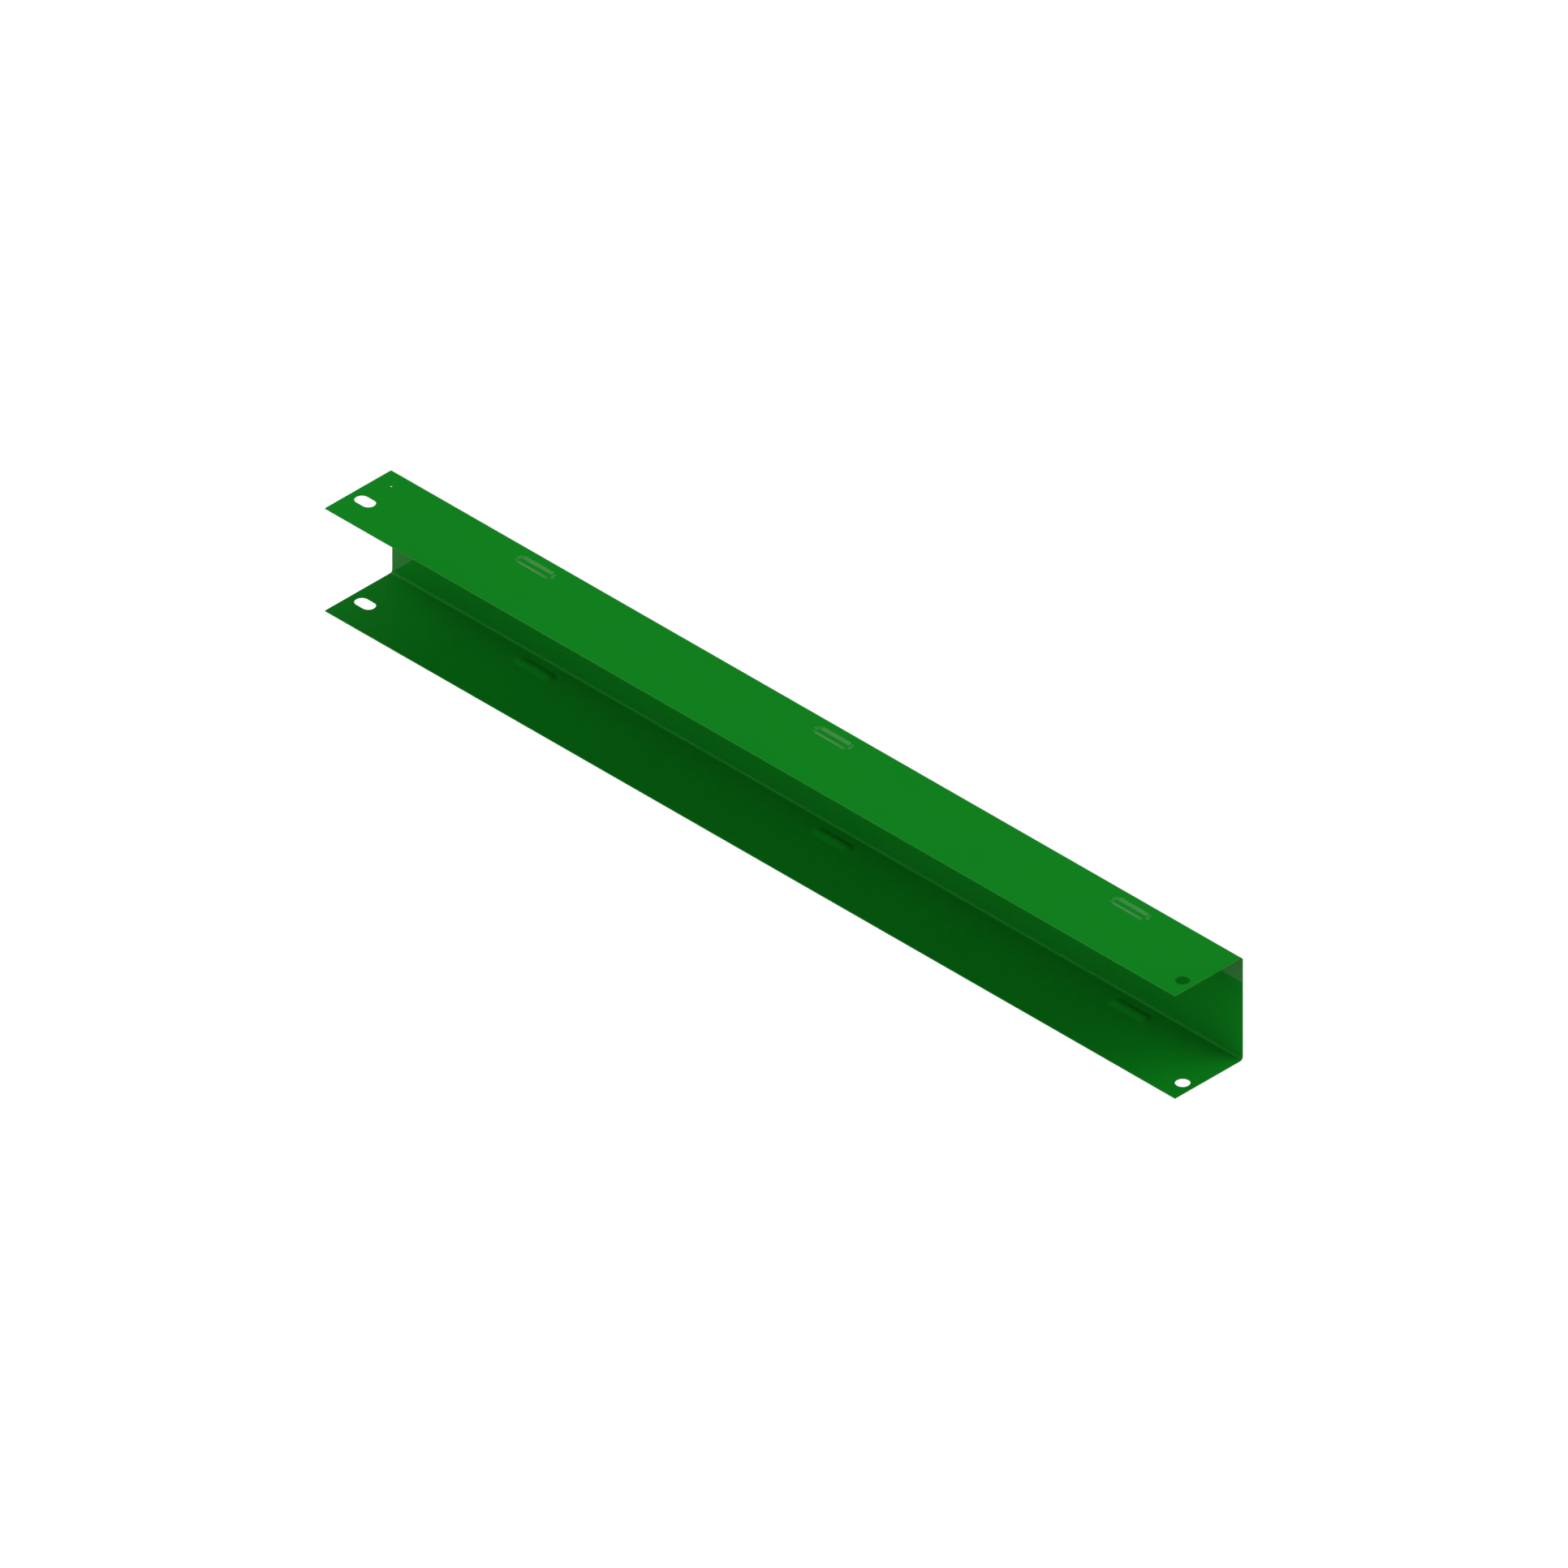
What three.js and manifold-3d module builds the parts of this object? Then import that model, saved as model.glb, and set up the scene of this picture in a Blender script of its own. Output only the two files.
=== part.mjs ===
// Straight slide channel: one sheet of painted steel, folded into a U.
//
// The channel lies on its lower flange. X runs along it, from the slotted end to the end with the
// round holes. Y runs from the open front to the web, and Z points up. The origin is the middle of
// the bounding box, at its lowest face. All sizes are in millimetres.

import * as THREE from 'three';
import { mergeVertices } from 'three/addons/utils/BufferGeometryUtils.js';
import Module from 'manifold-3d';

// Overall sizes, measured over the outside of the folded sheet.
const LENGTH = 1000;
const HEIGHT = 105;
const FLANGE_WIDTH = 80;
const SHEET = 1;
const INSIDE_BEND_RADIUS = 2.6;

// Round bolt hole, the same in both flanges.
const HOLE_DIAMETER = 13;
const HOLE_FROM_END = 11.4;
const HOLE_FROM_WEB = 59.6;

// Bolt slot at the other end, the same in both flanges. It runs along the channel.
const SLOT_WIDTH = 13;
const SLOT_LENGTH = 20.5;
const SLOT_FROM_END = 16.4;
const SLOT_FROM_WEB = 49.2;

// Small locating hole for the press brake, in the upper flange only.
const PILOT_DIAMETER = 2.2;
const PILOT_FROM_END = 16.4;
const PILOT_FROM_WEB = 18.4;

// Stiffening beads, pressed inwards out of both flanges beside the web.
const BEAD_COUNT = 3;
const BEAD_LENGTH = 46.6;
const BEAD_WIDTH = 15;
const BEAD_CREST_WIDTH = 1;
const BEAD_RISE = 1.7;
const BEAD_FROM_WEB = 16.5;
const FIRST_BEAD_FROM_SLOT_END = 184;
const LAST_BEAD_FROM_HOLE_END = 116;

// How finely curves are cut into facets.
const BEND_STEPS = 10;
const HOLE_STEPS = 48;
const SLOT_END_STEPS = 24;
const PILOT_STEPS = 16;
const BEAD_STEPS_AROUND = 32;
const BEAD_STEPS_UP_WALL = 6;

// How far a cutting tool reaches past the sheet on each side.
const TOOL_OVERRUN = 5;

const wasm = await Module();
wasm.setup();

const QUARTER_TURN = Math.PI / 2;
const HALF_TURN = Math.PI;

const slotEndX = -LENGTH / 2;
const holeEndX = LENGTH / 2;
const webY = FLANGE_WIDTH / 2;
const outsideBendRadius = INSIDE_BEND_RADIUS + SHEET;

// The two flanges: where the outer face lies, and which way is inwards.
const lowerFlange = { outerZ: 0, inwards: 1 };
const upperFlange = { outerZ: HEIGHT, inwards: -1 };

// Turns a closed three.js geometry into a solid that can be cut and joined.
function solidFrom(geometry) {
  const bare = geometry.clone();
  bare.deleteAttribute('normal');
  bare.deleteAttribute('uv');
  const merged = mergeVertices(bare, 1e-4);
  const corners = merged.getIndex().array;
  const triangles = [];
  for (let i = 0; i < corners.length; i += 3) {
    const [a, b, c] = corners.slice(i, i + 3);
    if (a !== b && b !== c && c !== a) {
      triangles.push(a, b, c);
    }
  }
  const mesh = new wasm.Mesh({
    numProp: 3,
    vertProperties: new Float32Array(merged.getAttribute('position').array),
    triVerts: new Uint32Array(triangles),
  });
  return new wasm.Manifold(mesh);
}

// Turns a solid back into a three.js geometry with flat facets.
function geometryFrom(solid) {
  const mesh = solid.getMesh();
  const indexed = new THREE.BufferGeometry();
  indexed.setAttribute('position', new THREE.BufferAttribute(mesh.vertProperties, mesh.numProp));
  indexed.setIndex(new THREE.BufferAttribute(mesh.triVerts, 1));
  const geometry = indexed.toNonIndexed();
  geometry.computeVertexNormals();
  return geometry;
}

// Draws a section in the Y-Z plane out along X.
function drawnAlongX(section, length, fromX) {
  const settings = { depth: length, bevelEnabled: false, curveSegments: BEND_STEPS };
  const geometry = new THREE.ExtrudeGeometry(section, settings);
  const alongX = new THREE.Matrix4().makeBasis(
    new THREE.Vector3(0, 1, 0),
    new THREE.Vector3(0, 0, 1),
    new THREE.Vector3(1, 0, 0),
  );
  geometry.applyMatrix4(alongX);
  geometry.translate(fromX, 0, 0);
  return solidFrom(geometry);
}

// The folded sheet before it is punched: a U section as long as the channel.
function foldedSheet() {
  const bendY = webY - outsideBendRadius;
  const lowerBendZ = outsideBendRadius;
  const upperBendZ = HEIGHT - outsideBendRadius;
  const section = new THREE.Shape();
  section.moveTo(-webY, 0);
  section.lineTo(bendY, 0);
  section.absarc(bendY, lowerBendZ, outsideBendRadius, -QUARTER_TURN, 0, false);
  section.lineTo(webY, upperBendZ);
  section.absarc(bendY, upperBendZ, outsideBendRadius, 0, QUARTER_TURN, false);
  section.lineTo(-webY, HEIGHT);
  section.lineTo(-webY, HEIGHT - SHEET);
  section.lineTo(bendY, HEIGHT - SHEET);
  section.absarc(bendY, upperBendZ, INSIDE_BEND_RADIUS, QUARTER_TURN, 0, true);
  section.lineTo(webY - SHEET, lowerBendZ);
  section.absarc(bendY, lowerBendZ, INSIDE_BEND_RADIUS, 0, -QUARTER_TURN, true);
  section.lineTo(-webY, SHEET);
  section.closePath();
  return drawnAlongX(section, LENGTH, slotEndX);
}

// An upright round punch that passes through both flanges.
function roundPunch(diameter, steps, x, y) {
  const height = HEIGHT + 2 * TOOL_OVERRUN;
  const geometry = new THREE.CylinderGeometry(diameter / 2, diameter / 2, height, steps);
  geometry.rotateX(QUARTER_TURN);
  geometry.translate(x, y, HEIGHT / 2);
  return solidFrom(geometry);
}

// An upright slot punch with half-round ends that passes through both flanges.
function slotPunch(length, width, x, y) {
  const radius = width / 2;
  const reach = length / 2 - radius;
  const outline = new THREE.Shape();
  outline.moveTo(-reach, -radius);
  outline.lineTo(reach, -radius);
  outline.absarc(reach, 0, radius, -QUARTER_TURN, QUARTER_TURN, false);
  outline.lineTo(-reach, radius);
  outline.absarc(-reach, 0, radius, QUARTER_TURN, QUARTER_TURN + HALF_TURN, false);
  outline.closePath();
  const depth = HEIGHT + 2 * TOOL_OVERRUN;
  const settings = { depth, bevelEnabled: false, curveSegments: SLOT_END_STEPS };
  const geometry = new THREE.ExtrudeGeometry(outline, settings);
  geometry.translate(x, y, -TOOL_OVERRUN);
  return solidFrom(geometry);
}

// A short round punch through one flange only.
function pilotPunch(flange) {
  const height = SHEET + 2 * TOOL_OVERRUN;
  const radius = PILOT_DIAMETER / 2;
  const geometry = new THREE.CylinderGeometry(radius, radius, height, PILOT_STEPS);
  geometry.rotateX(QUARTER_TURN);
  const x = slotEndX + PILOT_FROM_END;
  const y = webY - PILOT_FROM_WEB;
  geometry.translate(x, y, flange.outerZ + flange.inwards * SHEET / 2);
  return solidFrom(geometry);
}

// A block in the shape of a bead: a flat underside, and a top that is the bead lifted off it.
// Here Z is the height over the sheet's outer face, and the bead's middle is at the origin.
function beadBlock(undersideZ, lift) {
  const foot = BEAD_WIDTH / 2;
  const crest = BEAD_CREST_WIDTH / 2;
  const reach = BEAD_LENGTH / 2 - foot;
  const wall = [];
  for (let i = 0; i <= BEAD_STEPS_UP_WALL; i += 1) {
    const up = i / BEAD_STEPS_UP_WALL;
    const height = lift + BEAD_RISE * THREE.MathUtils.smoothstep(up, 0, 1);
    wall.push(new THREE.Vector2(THREE.MathUtils.lerp(foot, crest, up), height));
  }

  const section = new THREE.Shape();
  section.moveTo(-foot, undersideZ);
  section.lineTo(foot, undersideZ);
  for (const point of wall) {
    section.lineTo(point.x, point.y);
  }
  for (const point of wall.toReversed()) {
    section.lineTo(-point.x, point.y);
  }
  section.closePath();
  const middle = drawnAlongX(section, 2 * reach, -reach);

  const halfSection = [
    new THREE.Vector2(0, undersideZ),
    new THREE.Vector2(foot, undersideZ),
    ...wall,
    new THREE.Vector2(0, lift + BEAD_RISE),
  ];
  const geometry = new THREE.LatheGeometry(halfSection, BEAD_STEPS_AROUND);
  geometry.rotateX(QUARTER_TURN);
  const end = solidFrom(geometry);
  return middle.add(end.translate([-reach, 0, 0])).add(end.translate([reach, 0, 0]));
}

// Turns a block to face inwards from a flange, and puts it at its place beside the web.
function onFlange(block, flange, x) {
  const turned = flange.inwards > 0 ? block : block.rotate([180, 0, 0]);
  return turned.translate([x, webY - BEAD_FROM_WEB, flange.outerZ]);
}

// Presses one bead: the sheet rises on the inner side and is hollow by the same amount outside.
function pressBead(sheet, flange, x) {
  const dome = beadBlock(SHEET / 2, SHEET);
  const hollow = beadBlock(-TOOL_OVERRUN, 0);
  return sheet.add(onFlange(dome, flange, x)).subtract(onFlange(hollow, flange, x));
}

// Folds, punches and presses the whole channel.
function slideChannel() {
  const holeX = holeEndX - HOLE_FROM_END;
  const holeY = webY - HOLE_FROM_WEB;
  const slotX = slotEndX + SLOT_FROM_END;
  const slotY = webY - SLOT_FROM_WEB;
  let sheet = foldedSheet();
  sheet = sheet.subtract(roundPunch(HOLE_DIAMETER, HOLE_STEPS, holeX, holeY));
  sheet = sheet.subtract(slotPunch(SLOT_LENGTH, SLOT_WIDTH, slotX, slotY));
  sheet = sheet.subtract(pilotPunch(upperFlange));

  const firstBeadX = slotEndX + FIRST_BEAD_FROM_SLOT_END;
  const lastBeadX = holeEndX - LAST_BEAD_FROM_HOLE_END;
  const beadPitch = (lastBeadX - firstBeadX) / (BEAD_COUNT - 1);
  for (const flange of [lowerFlange, upperFlange]) {
    for (let i = 0; i < BEAD_COUNT; i += 1) {
      sheet = pressBead(sheet, flange, firstBeadX + i * beadPitch);
    }
  }
  return geometryFrom(sheet);
}

const greenPowderCoat = new THREE.MeshStandardMaterial({
  color: 0x137c1f,
  roughness: 0.3,
  metalness: 0,
});

const group = new THREE.Group();
const channel = new THREE.Mesh(slideChannel(), greenPowderCoat);
channel.name = 'slide_channel';
group.add(channel);

export default group;
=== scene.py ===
"""Slide channel: one sheet of powder-coated steel, folded into a U.

The channel is made as its maker makes it. A flat blank is cut with its bolt holes and slots,
beads are pressed into it, it gets its thickness, and then it is folded round two bends.
Everything is in metres, in the frame's own axes: X along the channel, Y towards the web, Z up.
"""

import math

import bpy
from bpy.props import FloatProperty, FloatVectorProperty, IntProperty, PointerProperty
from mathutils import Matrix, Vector


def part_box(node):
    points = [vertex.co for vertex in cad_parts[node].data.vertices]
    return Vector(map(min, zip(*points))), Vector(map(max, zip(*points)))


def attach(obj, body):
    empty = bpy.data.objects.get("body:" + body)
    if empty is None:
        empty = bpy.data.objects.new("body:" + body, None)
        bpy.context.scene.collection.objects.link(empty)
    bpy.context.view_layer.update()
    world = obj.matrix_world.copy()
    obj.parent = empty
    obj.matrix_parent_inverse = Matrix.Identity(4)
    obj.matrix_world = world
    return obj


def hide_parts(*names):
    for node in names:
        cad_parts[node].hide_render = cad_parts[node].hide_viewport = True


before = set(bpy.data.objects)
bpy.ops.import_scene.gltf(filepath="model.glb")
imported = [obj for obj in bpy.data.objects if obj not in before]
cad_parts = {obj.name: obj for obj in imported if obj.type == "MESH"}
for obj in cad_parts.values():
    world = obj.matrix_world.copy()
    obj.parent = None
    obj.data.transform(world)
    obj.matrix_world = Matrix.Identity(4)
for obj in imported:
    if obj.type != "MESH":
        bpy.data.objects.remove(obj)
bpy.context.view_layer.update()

bl_info = {
    "name": "Slide Channel",
    "version": (1, 0, 0),
    "blender": (4, 5, 0),
    "location": "View3D > Sidebar > Slide Channel",
    "description": "Makes a folded sheet-steel slide channel, its paint and a studio to show it in",
    "category": "Object",
}

MM = 0.001
NODE = "slide_channel"
PIECE = "channel_sheet"

channel_low, channel_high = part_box(NODE)
channel_size = channel_high - channel_low


def linear(hex_colour):
    """An sRGB colour such as 13802A as linear red, green and blue."""
    parts = [int(hex_colour[i : i + 2], 16) / 255 for i in (0, 2, 4)]
    return tuple(p / 12.92 if p <= 0.04045 else ((p + 0.055) / 1.055) ** 2.4 for p in parts)


def rgba(colour):
    """A linear colour with full opacity, as a shader socket wants it."""
    return (*colour, 1.0)


def add(tree, kind, settings=None, inputs=None):
    """Adds one node. Settings are its properties. Inputs are values, or the sockets that feed it."""
    node = tree.nodes.new(kind)
    for key, value in (settings or {}).items():
        setattr(node, key, value)
    for key, value in (inputs or {}).items():
        socket = node.inputs[key]
        if isinstance(value, bpy.types.NodeSocket):
            tree.links.new(value, socket)
        else:
            socket.default_value = value
    return node


# ---------------------------------------------------------------- sizes and colours


class ChannelSizes(bpy.types.PropertyGroup):
    """The sizes of the folded sheet."""

    length: FloatProperty(
        name="Length", description="Length of the channel",
        default=channel_size.x, min=0.2, unit="LENGTH",
    )
    height: FloatProperty(
        name="Height", description="Height over both flanges",
        default=channel_size.z, min=0.02, unit="LENGTH",
    )
    flange_width: FloatProperty(
        name="Flange width", description="From the web's outer face to a flange's free edge",
        default=channel_size.y, min=0.03, unit="LENGTH",
    )
    sheet: FloatProperty(
        name="Sheet", description="Thickness of the sheet with its paint",
        default=1.0 * MM, min=0.2 * MM, unit="LENGTH",
    )
    bend_radius: FloatProperty(
        name="Bend radius", description="Inside radius of the two folds",
        default=2.6 * MM, min=0.2 * MM, unit="LENGTH",
    )


class HoleSizes(bpy.types.PropertyGroup):
    """The round bolt holes, the bolt slots and the pilot hole."""

    hole_diameter: FloatProperty(
        name="Hole diameter", description="Round bolt hole in each flange",
        default=13.0 * MM, min=1 * MM, unit="LENGTH",
    )
    hole_from_end: FloatProperty(
        name="Hole from end", description="Hole centre to the nearer end of the channel",
        default=11.4 * MM, unit="LENGTH",
    )
    hole_from_web: FloatProperty(
        name="Hole from web", description="Hole centre to the web's outer face",
        default=59.6 * MM, unit="LENGTH",
    )
    slot_width: FloatProperty(
        name="Slot width", description="Width of the bolt slot in each flange",
        default=13.0 * MM, min=1 * MM, unit="LENGTH",
    )
    slot_length: FloatProperty(
        name="Slot length", description="Length of the bolt slot over its round ends",
        default=20.5 * MM, min=1 * MM, unit="LENGTH",
    )
    slot_from_end: FloatProperty(
        name="Slot from end", description="Slot centre to the nearer end of the channel",
        default=16.4 * MM, unit="LENGTH",
    )
    slot_from_web: FloatProperty(
        name="Slot from web", description="Slot centre to the web's outer face",
        default=49.2 * MM, unit="LENGTH",
    )
    pilot_diameter: FloatProperty(
        name="Pilot diameter", description="Small locating hole in the upper flange",
        default=2.2 * MM, min=0.2 * MM, unit="LENGTH",
    )
    pilot_from_end: FloatProperty(
        name="Pilot from end", description="Pilot hole centre to the slotted end",
        default=16.4 * MM, unit="LENGTH",
    )
    pilot_from_web: FloatProperty(
        name="Pilot from web", description="Pilot hole centre to the web's outer face",
        default=18.4 * MM, unit="LENGTH",
    )


class BeadSizes(bpy.types.PropertyGroup):
    """The stiffening beads beside the web."""

    bead_count: IntProperty(
        name="Bead count", description="Beads in each flange", default=3, min=2, max=20,
    )
    bead_length: FloatProperty(
        name="Bead length", description="Length of a bead over its round ends, at its foot",
        default=46.6 * MM, unit="LENGTH",
    )
    bead_width: FloatProperty(
        name="Bead width", description="Width of a bead at its foot",
        default=15.0 * MM, unit="LENGTH",
    )
    bead_crest: FloatProperty(
        name="Bead crest", description="Width of a bead's flat crest, between its sloping walls",
        default=1.0 * MM, min=0.0, unit="LENGTH",
    )
    bead_rise: FloatProperty(
        name="Bead rise", description="How far a bead is pressed inwards",
        default=1.7 * MM, unit="LENGTH",
    )
    bead_from_web: FloatProperty(
        name="Bead from web", description="Bead centre line to the web's outer face",
        default=16.5 * MM, unit="LENGTH",
    )
    first_bead: FloatProperty(
        name="First bead", description="Middle of the first bead to the slotted end",
        default=184.0 * MM, unit="LENGTH",
    )
    last_bead: FloatProperty(
        name="Last bead", description="Middle of the last bead to the end with the round holes",
        default=116.0 * MM, unit="LENGTH",
    )


class FinishColours(bpy.types.PropertyGroup):
    """The colours of the paint and of the studio."""

    paint: FloatVectorProperty(
        name="Paint", description="Colour of the powder coat", subtype="COLOR",
        size=3, min=0.0, max=1.0, default=linear("0A6F17"),
    )
    paint_thin: FloatVectorProperty(
        name="Thin paint", description="Colour where the powder coat lies thinner", subtype="COLOR",
        size=3, min=0.0, max=1.0, default=linear("0C7319"),
    )
    floor: FloatVectorProperty(
        name="Floor", description="Colour of the studio floor", subtype="COLOR",
        size=3, min=0.0, max=1.0, default=linear("F4F4F4"),
    )


# ---------------------------------------------------------------- the blank and its folding

SIZE_INPUTS = (
    "length", "height", "flange_width", "sheet", "bend_radius",
    "hole_diameter", "hole_from_end", "hole_from_web",
    "slot_width", "slot_length", "slot_from_end", "slot_from_web",
    "pilot_diameter", "pilot_from_end", "pilot_from_web",
    "bead_length", "bead_width", "bead_crest", "bead_rise", "bead_from_web",
    "first_bead", "last_bead",
)
BEND_STEPS = 14
HOLE_STEPS = 96
PILOT_STEPS = 24
# A count of 4n + 2 leaves no point of a circle on the line where a round is split into a slot.
SLOT_STEPS = 90
BEAD_STEPS = 62
BEAD_RINGS = 22
# A bead's patch reaches this much past its foot, so that the flat sheet round it stays flat.
BEAD_MARGIN = 1.1
SHARP_ANGLE = math.radians(40)
WELD = 0.002 * MM


def maths(tree, operation, *values):
    """One sum on up to three numbers or sockets."""
    return add(tree, "ShaderNodeMath", {"operation": operation}, dict(enumerate(values))).outputs[0]


def place(tree, x=0.0, y=0.0, z=0.0):
    """A position made of three numbers or sockets."""
    return add(tree, "ShaderNodeCombineXYZ", None, {0: x, 1: y, 2: z}).outputs[0]


def stretched(tree, round_mesh, half_stretch):
    """Splits a round shape down the middle and moves its halves apart along X, into a slot."""
    spot = add(tree, "GeometryNodeInputPosition").outputs[0]
    side = maths(tree, "SIGN", add(tree, "ShaderNodeSeparateXYZ", None, {0: spot}).outputs["X"])
    shift = place(tree, x=maths(tree, "MULTIPLY", side, half_stretch))
    return add(
        tree, "GeometryNodeSetPosition", None, {"Geometry": round_mesh, "Offset": shift},
    ).outputs[0]


def moved(tree, shape, x, y):
    """A shape at its place on the blank."""
    return add(
        tree, "GeometryNodeTransform", None, {"Geometry": shape, "Translation": place(tree, x, y)},
    ).outputs[0]


def channel_tree():
    """Geometry Nodes that cut, press, thicken and fold the sheet.

    On the flat blank X runs along the channel, Y runs round the section from the middle of the
    web, and Z is the height over the sheet's outer face.
    """
    tree = bpy.data.node_groups.new("Folded channel", "GeometryNodeTree")
    tree.interface.new_socket("Geometry", in_out="OUTPUT", socket_type="NodeSocketGeometry")
    for name in SIZE_INPUTS:
        tree.interface.new_socket(name, in_out="INPUT", socket_type="NodeSocketFloat")
    tree.interface.new_socket("bead_count", in_out="INPUT", socket_type="NodeSocketInt")
    tree.interface.new_socket("paint", in_out="INPUT", socket_type="NodeSocketMaterial")
    size = add(tree, "NodeGroupInput").outputs

    half_length = maths(tree, "DIVIDE", size["length"], 2)
    outside_radius = maths(tree, "ADD", size["bend_radius"], size["sheet"])
    half_web = maths(tree, "SUBTRACT", maths(tree, "DIVIDE", size["height"], 2), outside_radius)
    bend_girth = maths(tree, "MULTIPLY", outside_radius, math.pi / 2)
    flange_start = maths(tree, "ADD", half_web, bend_girth)
    flange_flat = maths(tree, "SUBTRACT", size["flange_width"], outside_radius)
    bend_step = maths(tree, "DIVIDE", bend_girth, BEND_STEPS)

    def on_flange(from_web):
        """Distance from the middle of the web, for a distance from its outer face."""
        past_bend = maths(tree, "SUBTRACT", from_web, outside_radius)
        return maths(tree, "ADD", flange_start, past_bend)

    # Beads: a flat round patch of rings, pressed up with a soft S-shaped wall all round, then
    # split into a slot shape.
    foot = maths(tree, "DIVIDE", size["bead_width"], 2)
    patch_radius = maths(tree, "MULTIPLY", foot, BEAD_MARGIN)
    disc = add(
        tree, "GeometryNodeMeshCone", {"fill_type": "NONE"},
        {
            "Vertices": BEAD_STEPS, "Side Segments": BEAD_RINGS,
            "Radius Top": 0.0, "Radius Bottom": patch_radius, "Depth": 0.0,
        },
    ).outputs["Mesh"]
    spot = add(tree, "GeometryNodeInputPosition").outputs[0]
    from_crest = add(
        tree, "ShaderNodeVectorMath", {"operation": "LENGTH"}, {0: spot},
    ).outputs["Value"]
    crest = maths(tree, "DIVIDE", size["bead_crest"], 2)
    rise = add(
        tree, "ShaderNodeMapRange", {"interpolation_type": "SMOOTHSTEP"},
        {
            "Value": from_crest, "From Min": foot, "From Max": crest,
            "To Min": 0.0, "To Max": size["bead_rise"],
        },
    ).outputs[0]
    pressed = add(
        tree, "GeometryNodeSetPosition", None, {"Geometry": disc, "Offset": place(tree, z=rise)},
    ).outputs[0]
    bead_reach = maths(tree, "SUBTRACT", maths(tree, "DIVIDE", size["bead_length"], 2), foot)
    patch = stretched(tree, pressed, bead_reach)

    # The row of beads.
    first_x = maths(tree, "SUBTRACT", size["first_bead"], half_length)
    last_x = maths(tree, "SUBTRACT", half_length, size["last_bead"])
    bead_y = on_flange(size["bead_from_web"])
    row = add(
        tree, "GeometryNodeMeshLine", {"mode": "END_POINTS", "count_mode": "TOTAL"},
        {
            "Count": size["bead_count"],
            "Start Location": place(tree, first_x, bead_y),
            "Offset": place(tree, last_x, bead_y),
        },
    ).outputs[0]
    placed = add(
        tree, "GeometryNodeInstanceOnPoints", None, {"Points": row, "Instance": patch},
    ).outputs[0]
    beads = add(tree, "GeometryNodeRealizeInstances", None, {"Geometry": placed}).outputs[0]
    neighbours = add(tree, "GeometryNodeInputMeshEdgeNeighbors").outputs[0]
    on_rim = add(
        tree, "FunctionNodeCompare", {"data_type": "INT", "operation": "EQUAL"},
        {2: neighbours, 3: 1},
    ).outputs[0]
    bead_rims = add(
        tree, "GeometryNodeMeshToCurve", None, {"Mesh": beads, "Selection": on_rim},
    ).outputs[0]

    # Outlines of the bolt hole and the bolt slot, at their places.
    hole = add(
        tree, "GeometryNodeCurvePrimitiveCircle", None,
        {"Resolution": HOLE_STEPS, "Radius": maths(tree, "DIVIDE", size["hole_diameter"], 2)},
    ).outputs[0]
    hole_x = maths(tree, "SUBTRACT", half_length, size["hole_from_end"])
    hole = moved(tree, hole, hole_x, on_flange(size["hole_from_web"]))
    slot_radius = maths(tree, "DIVIDE", size["slot_width"], 2)
    slot = add(
        tree, "GeometryNodeCurvePrimitiveCircle", None,
        {"Resolution": SLOT_STEPS, "Radius": slot_radius},
    ).outputs[0]
    slot_reach = maths(tree, "SUBTRACT", maths(tree, "DIVIDE", size["slot_length"], 2), slot_radius)
    slot_x = maths(tree, "SUBTRACT", size["slot_from_end"], half_length)
    slot = stretched(tree, slot, slot_reach)
    slot = moved(tree, slot, slot_x, on_flange(size["slot_from_web"]))
    pilot = add(
        tree, "GeometryNodeCurvePrimitiveCircle", None,
        {"Resolution": PILOT_STEPS, "Radius": maths(tree, "DIVIDE", size["pilot_diameter"], 2)},
    ).outputs[0]
    pilot_x = maths(tree, "SUBTRACT", size["pilot_from_end"], half_length)
    pilot = moved(tree, pilot, pilot_x, on_flange(size["pilot_from_web"]))

    # The flat of one flange, from one step past the bend to its free edge.
    flat_width = maths(tree, "SUBTRACT", flange_flat, bend_step)
    flat_middle = maths(
        tree, "ADD", maths(tree, "ADD", flange_start, bend_step),
        maths(tree, "DIVIDE", flat_width, 2),
    )
    border = add(
        tree, "GeometryNodeCurvePrimitiveQuadrilateral", {"mode": "RECTANGLE"},
        {"Width": size["length"], "Height": flat_width},
    ).outputs[0]
    border = moved(tree, border, 0.0, flat_middle)

    def flange(cutters):
        """One flange with its beads: the border, less what the outlines inside it cut away."""
        lines = add(tree, "GeometryNodeJoinGeometry")
        for outline in (border, bead_rims, *cutters):
            tree.links.new(outline, lines.inputs[0])
        flat = add(
            tree, "GeometryNodeFillCurve", {"mode": "TRIANGLES"}, {"Curve": lines.outputs[0]},
        ).outputs[0]
        whole = add(tree, "GeometryNodeJoinGeometry")
        for part in (flat, beads):
            tree.links.new(part, whole.inputs[0])
        return whole.outputs[0]

    def strip(width, middle, steps):
        """A plain strip of the blank, along its whole length."""
        grid = add(
            tree, "GeometryNodeMeshGrid", None,
            {"Size X": size["length"], "Size Y": width, "Vertices X": 2, "Vertices Y": steps + 1},
        ).outputs[0]
        return moved(tree, grid, 0.0, middle)

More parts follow.
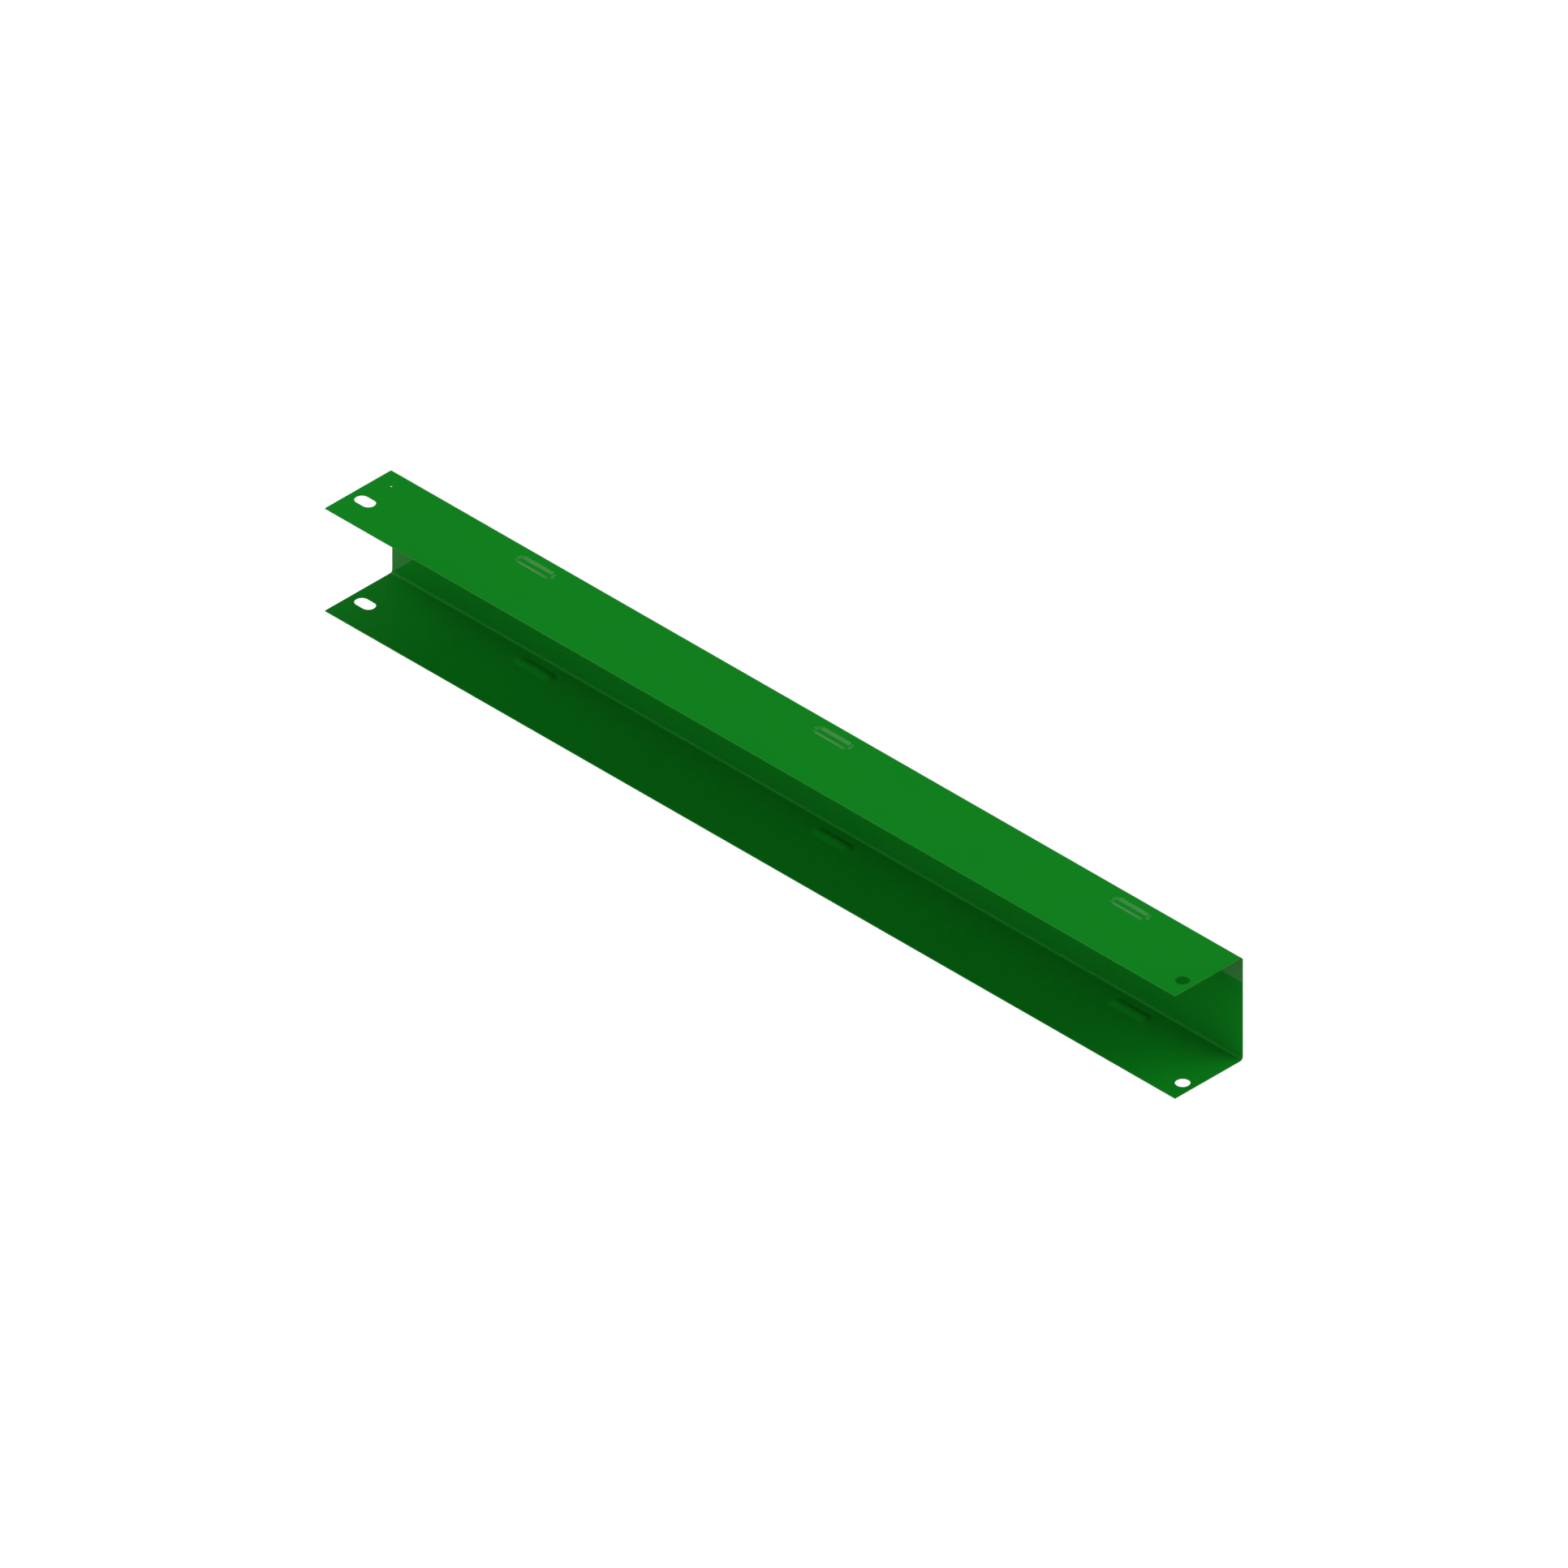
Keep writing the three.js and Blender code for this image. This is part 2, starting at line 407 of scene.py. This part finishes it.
    bend_width = maths(tree, "ADD", bend_girth, maths(tree, "MULTIPLY", bend_step, 2))
    bend_middle = maths(tree, "ADD", half_web, maths(tree, "DIVIDE", bend_girth, 2))
    web_width = maths(tree, "MULTIPLY", maths(tree, "SUBTRACT", half_web, bend_step), 2)
    upper_half = add(tree, "GeometryNodeJoinGeometry")
    lower_half = add(tree, "GeometryNodeJoinGeometry")
    bend = strip(bend_width, bend_middle, BEND_STEPS + 2)
    for half, cutters in ((upper_half, (hole, slot, pilot)), (lower_half, (hole, slot))):
        tree.links.new(flange(cutters), half.inputs[0])
        tree.links.new(bend, half.inputs[0])

    # The lower half is the upper one turned over in Y, so its faces are turned back.
    mirrored = add(
        tree, "GeometryNodeTransform", None,
        {"Geometry": lower_half.outputs[0], "Scale": (1.0, -1.0, 1.0)},
    ).outputs[0]
    mirrored = add(tree, "GeometryNodeFlipFaces", None, {"Mesh": mirrored}).outputs[0]
    blank = add(tree, "GeometryNodeJoinGeometry")
    for part in (upper_half.outputs[0], mirrored, strip(web_width, 0.0, 1)):
        tree.links.new(part, blank.inputs[0])
    welded = add(
        tree, "GeometryNodeMergeByDistance", None,
        {"Geometry": blank.outputs[0], "Distance": WELD},
    ).outputs[0]

    # The sheet's thickness: the blank lifted by it, with walls round every cut, and its underside.
    lifted = add(
        tree, "GeometryNodeExtrudeMesh", {"mode": "FACES"},
        {
            "Mesh": welded, "Offset": place(tree, z=1.0),
            "Offset Scale": size["sheet"], "Individual": False,
        },
    ).outputs[0]
    underside = add(tree, "GeometryNodeFlipFaces", None, {"Mesh": welded}).outputs[0]
    both = add(tree, "GeometryNodeJoinGeometry")
    for part in (lifted, underside):
        tree.links.new(part, both.inputs[0])
    thick = add(
        tree, "GeometryNodeMergeByDistance", None,
        {"Geometry": both.outputs[0], "Distance": WELD},
    ).outputs[0]

    # Folding: the girth goes up the web, round a bend, then out along a flange.
    blank_spot = add(
        tree, "ShaderNodeSeparateXYZ", None, {0: add(tree, "GeometryNodeInputPosition").outputs[0]},
    ).outputs
    girth = maths(tree, "ABSOLUTE", blank_spot["Y"])
    upwards = maths(tree, "SIGN", blank_spot["Y"])
    past_web = maths(tree, "SUBTRACT", girth, half_web)
    turned = maths(tree, "DIVIDE", past_web, outside_radius)
    turned = maths(tree, "MINIMUM", maths(tree, "MAXIMUM", turned, 0.0), math.pi / 2)
    along_flange = maths(tree, "MAXIMUM", maths(tree, "SUBTRACT", past_web, bend_girth), 0.0)
    layer_radius = maths(tree, "SUBTRACT", outside_radius, blank_spot["Z"])
    bend_centre_y = maths(
        tree, "SUBTRACT", maths(tree, "DIVIDE", size["flange_width"], 2), outside_radius,
    )
    y = maths(tree, "MULTIPLY_ADD", layer_radius, maths(tree, "COSINE", turned), bend_centre_y)
    y = maths(tree, "SUBTRACT", y, along_flange)
    z = maths(
        tree, "MULTIPLY_ADD", layer_radius, maths(tree, "SINE", turned),
        maths(tree, "MINIMUM", girth, half_web),
    )
    z = maths(tree, "MULTIPLY_ADD", z, upwards, maths(tree, "DIVIDE", size["height"], 2))
    folded = add(
        tree, "GeometryNodeSetPosition", None,
        {"Geometry": thick, "Position": place(tree, blank_spot["X"], y, z)},
    ).outputs[0]

    # Smooth round the bends and beads, sharp at the cut edges.
    smooth = add(
        tree, "GeometryNodeSetShadeSmooth", {"domain": "FACE"}, {"Geometry": folded},
    ).outputs[0]
    edge_angle = add(tree, "GeometryNodeInputMeshEdgeAngle").outputs[0]
    is_sharp = maths(tree, "GREATER_THAN", edge_angle, SHARP_ANGLE)
    sharpened = add(
        tree, "GeometryNodeSetShadeSmooth", {"domain": "EDGE"},
        {"Geometry": smooth, "Selection": is_sharp, "Shade Smooth": False},
    ).outputs[0]
    real = add(tree, "GeometryNodeRealizeInstances", None, {"Geometry": sharpened}).outputs[0]
    painted = add(
        tree, "GeometryNodeSetMaterial", None, {"Geometry": real, "Material": size["paint"]},
    ).outputs[0]
    add(tree, "NodeGroupOutput", None, {0: painted})
    return tree


def baked_piece(tree, values, name):
    """Runs a Geometry Nodes tree once and keeps its result as a plain mesh at the origin."""
    carrier = bpy.data.objects.new(name + "_carrier", bpy.data.meshes.new(name + "_carrier"))
    bpy.context.scene.collection.objects.link(carrier)
    modifier = carrier.modifiers.new("Make", "NODES")
    modifier.node_group = tree
    for item in tree.interface.items_tree:
        if item.in_out == "INPUT":
            modifier[item.identifier] = values[item.name]
    bpy.context.view_layer.update()
    graph = bpy.context.evaluated_depsgraph_get()
    mesh = bpy.data.meshes.new_from_object(
        carrier.evaluated_get(graph), preserve_all_data_layers=True, depsgraph=graph,
    )
    bpy.data.objects.remove(carrier)
    mesh.name = name
    piece = bpy.data.objects.new(name, mesh)
    bpy.context.scene.collection.objects.link(piece)
    return piece


# ---------------------------------------------------------------- the paint


# Real sizes of what shows in the powder coat.
FILM_WANDER = 90 * MM
PEEL_WAVE = 2.5 * MM
GRAIN_SIZE = 0.4 * MM
RELIEF_HEIGHT = 0.01 * MM
# How tall the grain stands beside the peel, and how much of the relief the light shows.
GRAIN_SHARE = 0.12
RELIEF_STRENGTH = 0.25
# Roughness between the grain and on it. Both are low, because the baked film is a gloss one.
SMOOTH_FILM = 0.03
GRAINY_FILM = 0.06


def green_powder_coat(colours):
    """Gloss polyester powder coat, sprayed on steel sheet and baked.

    The eye sees a deep even green with a wet gloss. The melted powder leaves a very faint
    orange peel, lies a little thinner here and there, and holds specks of unmelted grain.
    """
    material = bpy.data.materials.new("gloss_green_powder_coat")
    material.use_nodes = True
    tree = material.node_tree
    tree.nodes.clear()
    where = add(tree, "ShaderNodeTexCoord").outputs["Object"]

    # The film's thickness wanders over about a hand's breadth.
    film = add(
        tree, "ShaderNodeTexNoise", None,
        {"Vector": where, "Scale": 1 / FILM_WANDER, "Detail": 3.0, "Roughness": 0.5},
    ).outputs["Fac"]
    colour = add(
        tree, "ShaderNodeMix", {"data_type": "RGBA"},
        {"Factor": film, 6: rgba(colours.paint), 7: rgba(colours.paint_thin)},
    ).outputs[2]

    # Orange peel: low waves a few millimetres apart.
    peel = add(
        tree, "ShaderNodeTexNoise", None,
        {"Vector": where, "Scale": 1 / PEEL_WAVE, "Detail": 1.0, "Roughness": 0.4},
    ).outputs["Fac"]
    # Powder grain: fine specks that did not melt in.
    grain = add(
        tree, "ShaderNodeTexNoise", None,
        {"Vector": where, "Scale": 1 / GRAIN_SIZE, "Detail": 2.0, "Roughness": 0.6},
    ).outputs["Fac"]
    relief = add(
        tree, "ShaderNodeMath", {"operation": "MULTIPLY_ADD"}, {0: grain, 1: GRAIN_SHARE, 2: peel},
    ).outputs[0]
    bump = add(
        tree, "ShaderNodeBump", None,
        {"Height": relief, "Strength": RELIEF_STRENGTH, "Distance": RELIEF_HEIGHT},
    ).outputs[0]
    roughness = add(
        tree, "ShaderNodeMapRange", None,
        {
            "Value": grain, "From Min": 0.3, "From Max": 0.7,
            "To Min": SMOOTH_FILM, "To Max": GRAINY_FILM,
        },
    ).outputs[0]
    paint = add(
        tree, "ShaderNodeBsdfPrincipled", None,
        {
            "Base Color": colour, "Roughness": roughness, "Normal": bump,
            "Specular IOR Level": 0.08, "IOR": 1.5,
        },
    ).outputs[0]
    add(tree, "ShaderNodeOutputMaterial", None, {"Surface": paint})
    return material


# ---------------------------------------------------------------- the studio

# How the object is looked at: turned from the front, and from above.
VIEW_TURN = math.radians(45)
VIEW_HEIGHT = math.radians(35)
# Width of the view over the length of the channel.
VIEW_MARGIN = 1.3044
CAMERA_DISTANCE = 4.0
FLOOR_DROP = 0.6
FLOOR_SIZE = 40.0


def studio_floor(colours):
    """A plain pale floor, below the channel so that its shadow stays faint."""
    material = bpy.data.materials.new("matt_white_floor")
    material.use_nodes = True
    shader = material.node_tree.nodes["Principled BSDF"]
    shader.inputs["Base Color"].default_value = rgba(colours.floor)
    shader.inputs["Roughness"].default_value = 0.9
    shader.inputs["Specular IOR Level"].default_value = 0.0
    half = FLOOR_SIZE / 2
    z = channel_low.z - FLOOR_DROP
    mesh = bpy.data.meshes.new("studio_floor")
    corners = [(-half, -half, z), (half, -half, z), (half, half, z), (-half, half, z)]
    mesh.from_pydata(corners, [], [(0, 1, 2, 3)])
    mesh.materials.append(material)
    floor = bpy.data.objects.new("studio_floor", mesh)
    bpy.context.scene.collection.objects.link(floor)


# Soft boxes round the channel: turn from +X towards +Y, height over the horizon, half spread,
# and brightness. The small ones stand in a ring, so that a bead's wall catches light all round
# while the flat flange, which looks into the gap in their middle, keeps a deep green.
SOFT_BOXES = (
    (172, 54, 8.0, 5.0),
    (163, 70, 10.0, 3.2),
    (112, 71, 10.0, 3.2),
    (98, 54, 8.0, 4.4),
    (110, 27, 9.0, 1.7),
    (159, 27, 9.0, 1.7),
    (125, 6, 9.0, 0.85),
    (146, 6, 9.0, 0.85),
    (181, 10, 20.0, 4.9),
    (-101, 38, 33.0, 2.8),
    (42, 44, 30.0, 3.5),
)
# The share of a soft box's half spread that is lit in full. From there it fades out.
FULL_LIGHT = 0.7
ROOM_LIGHT = 0.10


def studio_light():
    """A dim room with large soft boxes round the channel."""
    world = bpy.data.worlds.new("studio_room")
    bpy.context.scene.world = world
    world.use_nodes = True
    tree = world.node_tree
    tree.nodes.clear()
    direction = add(tree, "ShaderNodeTexCoord").outputs["Generated"]
    brightness = ROOM_LIGHT
    for turn, height, spread, level in SOFT_BOXES:
        turn, height, spread = (math.radians(angle) for angle in (turn, height, spread))
        middle = (
            math.cos(height) * math.cos(turn), math.cos(height) * math.sin(turn), math.sin(height),
        )
        nearness = add(
            tree, "ShaderNodeVectorMath", {"operation": "DOT_PRODUCT"}, {0: direction, 1: middle},
        ).outputs["Value"]
        box = add(
            tree, "ShaderNodeMapRange", {"interpolation_type": "SMOOTHSTEP"},
            {
                "Value": maths(tree, "ARCCOSINE", nearness), "From Min": spread,
                "From Max": FULL_LIGHT * spread, "To Min": 0.0, "To Max": level,
            },
        ).outputs[0]
        brightness = maths(tree, "ADD", box, brightness)
    light = add(
        tree, "ShaderNodeBackground", None, {"Color": rgba((1.0, 1.0, 1.0)), "Strength": brightness},
    )
    add(tree, "ShaderNodeOutputWorld", None, {"Surface": light.outputs[0]})


def studio_camera():
    """A camera without perspective, aimed at the middle of the channel."""
    data = bpy.data.cameras.new("studio_camera")
    data.type = "ORTHO"
    data.ortho_scale = VIEW_MARGIN * channel_size.x
    data.clip_end = 100.0
    camera = bpy.data.objects.new("studio_camera", data)
    bpy.context.scene.collection.objects.link(camera)
    back = Vector((
        math.sin(VIEW_TURN) * math.cos(VIEW_HEIGHT),
        -math.cos(VIEW_TURN) * math.cos(VIEW_HEIGHT),
        math.sin(VIEW_HEIGHT),
    ))
    camera.location = (channel_low + channel_high) / 2 + back * CAMERA_DISTANCE
    camera.rotation_mode = "QUATERNION"
    camera.rotation_quaternion = (-back).to_track_quat("-Z", "Y")
    bpy.context.scene.camera = camera


# ---------------------------------------------------------------- operators and panel


class SLIDE_OT_stage(bpy.types.Operator):
    """Make the floor, the light and the camera"""

    bl_idname = "slide.stage"
    bl_label = "Make Stage"

    def execute(self, context):
        studio_floor(context.scene.slide_colours)
        studio_light()
        studio_camera()
        context.scene.view_settings.view_transform = "Standard"
        return {"FINISHED"}


class SLIDE_OT_channel(bpy.types.Operator):
    """Cut, press and fold the channel from one sheet, and paint it"""

    bl_idname = "slide.channel"
    bl_label = "Make Channel"

    def execute(self, context):
        scene = context.scene
        groups = (scene.slide_sheet, scene.slide_holes, scene.slide_beads)
        values = {
            name: getattr(group, name)
            for group in groups
            for name in (*SIZE_INPUTS, "bead_count")
            if hasattr(group, name)
        }
        values["paint"] = green_powder_coat(scene.slide_colours)
        sheet = baked_piece(channel_tree(), values, PIECE)
        if not sheet.data.polygons:
            raise RuntimeError("the folded channel came out empty")
        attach(sheet, "root")
        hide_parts(NODE)
        return {"FINISHED"}


class SLIDE_PT_panel(bpy.types.Panel):
    """Lists the steps in the order in which they are made."""

    bl_idname = "SLIDE_PT_panel"
    bl_label = "Slide Channel"
    bl_space_type = "VIEW_3D"
    bl_region_type = "UI"
    bl_category = "Slide Channel"

    def draw(self, context):
        for operator in OPERATORS:
            self.layout.operator(operator.bl_idname)
        for group_name in PROPERTY_GROUPS:
            group = getattr(context.scene, group_name)
            box = self.layout.box()
            for key in group.bl_rna.properties.keys():
                if key not in ("rna_type", "name"):
                    box.prop(group, key)


PROPERTY_GROUPS = {
    "slide_sheet": ChannelSizes,
    "slide_holes": HoleSizes,
    "slide_beads": BeadSizes,
    "slide_colours": FinishColours,
}
OPERATORS = (SLIDE_OT_stage, SLIDE_OT_channel)
CLASSES = (*PROPERTY_GROUPS.values(), *OPERATORS, SLIDE_PT_panel)


def register():
    for cls in CLASSES:
        bpy.utils.register_class(cls)
    for name, group in PROPERTY_GROUPS.items():
        setattr(bpy.types.Scene, name, PointerProperty(type=group))


def unregister():
    for name in PROPERTY_GROUPS:
        delattr(bpy.types.Scene, name)
    for cls in reversed(CLASSES):
        bpy.utils.unregister_class(cls)


def main():
    """Makes the stage and the channel."""
    register()
    bpy.ops.slide.stage()
    bpy.ops.slide.channel()


if __name__ == "__main__":
    main()
